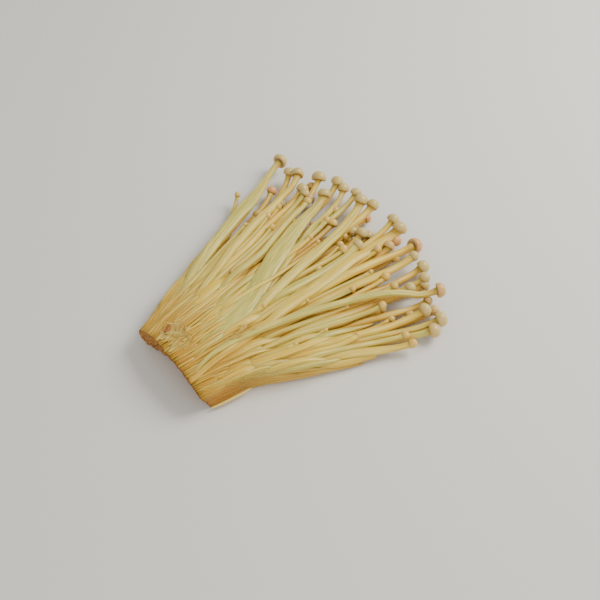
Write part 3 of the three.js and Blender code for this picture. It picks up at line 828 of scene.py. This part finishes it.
# %% Torn places
# A torn place: middle, half sizes, how many chips and how many curls lie on it.
TORN = [(-11.0, 7.0, 8.0, 5.5, 44, 5), (5.5, 29.0, 2.0, 6.0, 4, 7), (-14.0, 11.0, 5.0, 3.0, 10, 7)]
CHIP = {"length": (1.2, 4.5), "width": (0.3, 0.8), "bow": 0.08, "flatness": 0.35}
CURL = {"length": (2.5, 5.0), "width": (0.1, 0.16), "bow": 0.5, "flatness": 1.0}
PARTS = (-1.0, -0.35, 0.35, 1.0)  # places along a fibre, as shares of its half length
for mid_x, mid_y, half_x, half_y, chips, curls in TORN:
    for kind in [CHIP] * chips + [CURL] * curls:
        angle, far = draw(0, 2 * math.pi), math.sqrt(draw(0.02, 1))
        x = max(mid_x + half_x * far * math.cos(angle), -25.0)
        y = max(mid_y + half_y * far * math.sin(angle), 1.0)
        aim = math.atan2(y - APEX_Y, x - APEX_X) + draw(-0.35, 0.35)
        if kind is CURL:
            aim = draw(-0.4, 1.6)
        half = draw(*kind["length"])
        size = draw(*kind["width"])
        bow = draw(-kind["bow"], kind["bow"]) * half
        lift, ground = draw(0.0, 1.2), top_at(x, y) + draw(-0.3, 0.15)
        points = []
        for part in PARTS:
            px = x + part * half * math.cos(aim) - bow * (1 - part * part) * math.sin(aim)
            py = y + part * half * math.sin(aim) + bow * (1 - part * part) * math.cos(aim)
            pz = ground + lift * max(part, 0) ** 2
            if kind is CURL:
                pz = top_at(px, py) + 0.6 * draw(0, 1)
            points.append((px, py, pz))
        drop_fibre(points, size, size * kind["flatness"], draw(0, 0.3), 0.0)
print("chips and curls:", sum(torn[4] + torn[5] for torn in TORN))

# %% [markdown]
# A few can be told apart on the real root: four that lie crosswise, a flake of old skin
# that has dried, and a long splinter that stands off the right edge.

# %% Single fibres
# middle, angle in radians and half length of each crosswise fibre
CROSSWISE = [(-18.0, 10.4, 0.7, 3.0), (-15.0, 6.2, 1.1, 2.0), (-13.4, 7.4, 1.0, 2.4),
             (-11.6, 8.6, 1.1, 2.2)]
for x, y, turned, half in CROSSWISE:
    ends = [part * half for part in (-1, -0.3, 0.4, 1)]
    points = [(x + end * math.cos(turned), y + end * math.sin(turned)) for end in ends]
    line = [(px, py, top_at(px, py) + 0.3) for px, py in points]
    drop_fibre(line, half_wide=0.38, half_tall=0.25, pale=0.6)
dried_flake = [(-15.8, 4.8), (-16.3, 6.2), (-17.2, 7.8), (-17.6, 9.2)]
line = [(x, y, top_at(x, y) + 0.4) for x, y in dried_flake]
drop_fibre(line, half_wide=1.1, half_tall=0.5, pale=0.0, tone=1.0)
splinter = [(23.4, 21, 3.6), (22.5, 15, 3.0), (21.4, 8, 2.4), (19.8, 1.8, 1.8)]
drop_fibre(splinter, half_wide=0.7, half_tall=0.4, pale=0.8, tone=0.4)
print("single fibres:", len(CROSSWISE) + 2)

# %% [markdown]
# ## Materials
# Fresh enoki is ivory and lets a little light through: light enters a stem, scatters
# for a millimetre or two and comes out warmer, which is why the gaps glow orange. So
# every flesh uses subsurface scattering, with red travelling furthest, and the stem flesh
# also has darker, more orange painted shade deep in the pile. It is mostly water, so its
# index of refraction is a little over 1.33, and a thin coat on the moist skin gives
# clear, soft highlights. The scattering pales the colours, so they are deep.

# %% Material helpers
SCATTER_DEPTH, SCATTER_RGB = 2.0, (1.0, 0.65, 0.3)  # in mm, and as shares of that
FLESH_IOR, COAT_ROUGHNESS = 1.38, 0.22
FACTOR, UNDER, OVER, MIXED = 0, 6, 7, 2  # sockets of a colour Mix node
TONE_STEP = 57.0  # sets the patterns of two stems far apart


def colour(text):
    """A screen colour such as c9b57f as linear numbers."""
    parts = [int(text[i:i + 2], 16) / 255 for i in (0, 2, 4)]
    linear = [p / 12.92 if p <= 0.04045 else ((p + 0.055) / 1.055) ** 2.4 for p in parts]
    return (*linear, 1.0)


def add(tree, kind, inputs, **settings):
    """Adds a node with its settings, and fills its inputs with values or links."""
    made = tree.nodes.new(kind)
    for name, value in settings.items():
        setattr(made, name, value)
    for name, value in inputs.items():
        if isinstance(value, bpy.types.NodeSocket):
            tree.links.new(value, made.inputs[name])
        else:
            made.inputs[name].default_value = value
    return made


def coat(tree, under, over, share, span=None):
    """One colour over another: as far as share says, or as it rises through the span."""
    if span:
        limits = {"Value": share, "From Min": span[0], "From Max": span[1]}
        share = add(tree, "ShaderNodeMapRange", limits, interpolation_type="SMOOTHSTEP").outputs[0]
    inputs = {FACTOR: share, UNDER: under, OVER: over}
    return add(tree, "ShaderNodeMix", inputs, data_type="RGBA").outputs[MIXED]


def pattern(tree, read, swings, detail=3.0):
    """A pattern in the flesh: swings for each millimetre across, over and along it."""
    skin = add(tree, "ShaderNodeVectorMath", {0: read["skin"], 1: swings}, operation="MULTIPLY")
    own = add(tree, "ShaderNodeMath", {0: read["tone"], 1: TONE_STEP}, operation="MULTIPLY")
    inputs = {"Vector": skin.outputs[0], "W": own.outputs[0], "Scale": 1.0, "Detail": detail}
    return add(tree, "ShaderNodeTexNoise", inputs, noise_dimensions="4D").outputs[0]


def flesh(name, paint, roughness, scatter, shine=0.0):
    """A translucent material. paint returns colour, relief and the relief's depth in mm."""
    made = bpy.data.materials.new(name)
    made.use_nodes = True
    tree = made.node_tree
    tree.nodes.clear()
    read = {}
    for label in ("skin", "along", "tone", "below"):
        node = add(tree, "ShaderNodeAttribute", {}, attribute_name=label)
        read[label] = node.outputs["Vector" if label == "skin" else "Fac"]
    tint, relief, depth = paint(tree, read)
    bump = add(tree, "ShaderNodeBump", {"Height": relief, "Distance": depth * MM, "Strength": 1.0})
    shader = add(tree, "ShaderNodeBsdfPrincipled", {
        "Base Color": tint, "Roughness": roughness, "Normal": bump.outputs[0],
        "IOR": FLESH_IOR, "Subsurface Weight": scatter,
        "Subsurface Radius": SCATTER_RGB, "Subsurface Scale": SCATTER_DEPTH * MM,
        "Coat Weight": shine, "Coat Roughness": COAT_ROUGHNESS,
    })
    add(tree, "ShaderNodeOutputMaterial", {"Surface": shader.outputs[0]})
    print(name, "is made of", len(tree.nodes), "nodes")
    return made


# %% [markdown]
# ** Stem flesh.** Grown and still moist: pale ivory with a breath of green in its watery
# upper half, warm tan towards the root. Each stem has its own tone. Streaks run along
# it, under a millimetre wide and as long as a fingertip. Its real threads are too fine
# to show, so they are drawn a quarter of a millimetre wide. Deep in the pile it is
# painted darker and more orange as painted shade, and the last half millimetre before
# the cut has dried brown.

# %% Stem flesh


def paint_stem(tree, read):
    root, tip = colour("be8a1e"), colour("d9c74a")
    warm, cool = colour("dcae2a"), colour("9fa056")
    streaks = pattern(tree, read, (1.4, 1.4, 0.07))
    fibres = pattern(tree, read, (4.0, 4.0, 0.16), 2.0)
    own = coat(tree, warm, cool, read["tone"], (0.1, 0.9))
    tint = coat(tree, root, coat(tree, tip, own, 0.65), read["along"])
    light = coat(tree, colour("e2c458"), colour("e8d370"), read["along"])
    tint = coat(tree, tint, light, streaks, (0.4, 0.75))
    tint = coat(tree, tint, colour("b9822a"), fibres, (0.55, 0.85))
    # Painted shade: the deeper a point lies below the pile's top, the darker and more orange it is
    # painted.
    painted_deep_shade = coat(tree, colour("b07a26"), colour("cba23e"), read["along"])
    tint = coat(tree, tint, painted_deep_shade, read["below"], (0.3, 4.5))
    from_cut = add(tree, "ShaderNodeSeparateXYZ", {0: read["skin"]}).outputs[2]
    tint = coat(tree, tint, colour("8a5420"), from_cut, (0.9, 0.1))
    return tint, fibres, 0.06


stem_flesh = flesh("stem flesh", paint_stem, roughness=0.4, scatter=0.5, shine=0.12)

# %% [markdown]
# **Cap skin.** A smooth, moist skin that grew tight over the cap: glossier than the
# stem, which gives each cap one soft highlight. It is ivory to faintly peach in clouds
# two millimetres wide, deeper at the rim, with a few pinprick flecks, drawn twice as
# wide as they are so that they show.

# %% Cap skin


def paint_cap(tree, read):
    clouds = pattern(tree, read, (0.45, 0.45, 0.45), 2.0)
    flecks = pattern(tree, read, (2.6, 2.6, 2.6), 1.0)
    tint = coat(tree, colour("c3b46c"), colour("c8ad6a"), clouds, (0.3, 0.7))
    tint = coat(tree, tint, colour("c9a966"), read["along"], (0.4, 0.05))
    tint = coat(tree, tint, colour("d69658"), read["tone"], (0.3, 1.1))
    tint = coat(tree, tint, colour("d9b456"), read["tone"], (0.0, -1.0))
    tint = coat(tree, tint, colour("9a7440"), flecks, (0.74, 0.8))
    return tint, clouds, 0.08


cap_skin = flesh("cap skin", paint_cap, roughness=0.3, scatter=0.5, shine=0.3)

# %% [markdown]
# ** Gills.** Thin, dry blades from the stem to the rim that catch no highlight. From this
# far they are fine stripes, so they are drawn by the angle round the cap, with a
# matching bump: pale blades, with painted shade in the gaps between them. A real cap has
# about twice as many.

# %% Gills
BLADES = 34.0


def paint_gills(tree, read):
    parts = add(tree, "ShaderNodeSeparateXYZ", {0: read["skin"]}).outputs
    angle = add(tree, "ShaderNodeMath", {0: parts[1], 1: parts[0]}, operation="ARCTAN2").outputs[0]
    many = add(tree, "ShaderNodeMath", {0: angle, 1: BLADES}, operation="MULTIPLY").outputs[0]
    blades = add(tree, "ShaderNodeMath", {0: many}, operation="SINE").outputs[0]
    # The darker colour is painted shade in the gaps between the blades.
    return coat(tree, colour("b8904e"), colour("e6cd94"), blades, (-0.9, 0.7)), blades, 0.12


gills = flesh("gills", paint_gills, roughness=0.55, scatter=0.35)

# %% [markdown]
# **Root flesh and cut face.** The root is drier than the stems, tan to orange, with
# fibres half a millimetre wide that run lengthwise. The cut was made by a blade and has
# dried in the air: orange-brown, in blotches a few millimetres wide, and too rough to
# have a highlight.

# %% Root flesh and cut face


def paint_root(tree, read):
    fibres = pattern(tree, read, (2.2, 0.12, 2.2))
    blotches = pattern(tree, read, (0.2, 0.1, 0.2), 2.0)
    tint = coat(tree, colour("b67c2c"), colour("e2b252"), fibres, (0.3, 0.7))
    return coat(tree, tint, colour("a86c28"), blotches, (0.5, 0.7)), fibres, 0.25


def paint_cut(tree, read):
    crumbs = pattern(tree, read, (1.3, 1.3, 1.3), 4.0)
    patches = pattern(tree, read, (0.22, 0.22, 0.22), 2.0)
    tint = coat(tree, colour("945a22"), colour("bf7f36"), patches, (0.4, 0.62))
    return coat(tree, tint, colour("cf9c56"), crumbs, (0.45, 0.75)), crumbs, 0.5


root_flesh = flesh("root flesh", paint_root, roughness=0.5, scatter=0.4)
cut_face = flesh("cut face", paint_cut, roughness=0.75, scatter=0.2)

# %% [markdown]
# **Torn flesh.** Ripped apart by hand, so its inside shows: paler and duller than the
# skin round it, which makes the torn places read as one soft patch. The flake of old
# skin has dried to a reddish brown.

# %% Torn flesh


def paint_torn(tree, read):
    fibres = pattern(tree, read, (2.2, 2.2, 0.3), 2.0)
    tint = coat(tree, colour("bc8c32"), colour("dab450"), fibres, (0.3, 0.7))
    tint = coat(tree, tint, colour("e6d07a"), read["along"])
    return coat(tree, tint, colour("9a5a1c"), read["tone"], (0.6, 1.0)), fibres, 0.06


torn_flesh = flesh("torn flesh", paint_torn, roughness=0.5, scatter=0.35)

# %% [markdown]
# ## Pieces in the frame
# Each mesh rides on the one body there is and stands for the frame's solid, which is
# hidden.

# %% Build the pieces
pieces = [
    leading_stems.build("leading_stems", [stem_flesh, cut_face]),
    crowd_stems.build("crowd_stems", [stem_flesh, cut_face]),
    all_caps.build("caps", [cap_skin, gills]),
    butt.build("root_butt", [root_flesh, cut_face]),
    loose.build("loose_fibres", [torn_flesh]),
]
for piece in pieces:
    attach(piece, "root")
    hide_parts("enoki_bunch")

# %% [markdown]
# ## Floor and light
# A plain pale floor, matt like paper, takes the shadows. One broad soft light above and
# behind the bunch lets them fall forward and part the stems. A weaker one from the front
# and an even white sky open them again.

# %% Floor and light
corners = [(-3, -3, 0), (3, -3, 0), (3, 3, 0), (-3, 3, 0)]  # in metres
floor_mesh = bpy.data.meshes.new("floor")
floor_mesh.from_pydata(corners, [], [(0, 1, 2, 3)])
floor = place("floor", floor_mesh)
paper = bpy.data.materials.new("pale floor")
paper.use_nodes = True
paper_inputs = paper.node_tree.nodes["Principled BSDF"].inputs
paper_inputs["Base Color"].default_value = colour("d8d6d0")
paper_inputs["Roughness"].default_value = 0.8
floor_mesh.materials.append(paper)

WARM_WHITE = (1.0, 0.97, 0.89)
SKY_STRENGTH = 0.66
# name, place and size in metres, and power in watts
LAMPS = [("key", (0.12, 0.5, 0.5), 0.4, 5.8), ("fill", (0.7, -0.4, 0.5), 0.9, 3.6)]
for name, spot, size, power in LAMPS:
    lamp = bpy.data.lights.new(name, "AREA")
    lamp.size = size
    lamp.color = WARM_WHITE
    lamp.energy = power
    holder = place(name, lamp)
    holder.location = spot
    holder.rotation_euler = (-Vector(spot)).to_track_quat("-Z", "Y").to_euler()

world = bpy.data.worlds.new("studio")
world.use_nodes = True
sky = world.node_tree.nodes["Background"].inputs
sky["Color"].default_value = (1, 1, 1, 1)
sky["Strength"].default_value = SKY_STRENGTH
bpy.context.scene.world = world
print("lights:", len(LAMPS))

# %% [markdown]
# The camera looks down at fifty degrees over a corner of the cut, from so near that the
# far side of the fan looks smaller.

# %% Camera
CAMERA_PLACE = np.array([212.02, -121.67, 345.0])  # on the plan
TO_RIGHT, TO_TOP = (0.6397, 0.7681, 0.0281), (-0.6012, 0.4772, 0.6410)
FORWARD = (-0.4790, 0.4269, -0.7671)
lens = bpy.data.cameras.new("camera")
lens.sensor_width = 36  # in millimetres, as its focal length is
lens.lens = 58.42
camera = place("camera", lens)
turned = Matrix([TO_RIGHT, TO_TOP, [-value for value in FORWARD]]).transposed().to_4x4()
camera.matrix_world = Matrix.Translation((CAMERA_PLACE - MIDDLE) * MM) @ turned
bpy.context.scene.camera = camera
print("camera in mm from the frame's zero:", (CAMERA_PLACE - MIDDLE).round(0))

# %% [markdown]
# Last, the places of all objects are brought up to date. The pieces have to fill the
# same box as the frame's solid.

# %% Finish
bpy.context.view_layer.update()
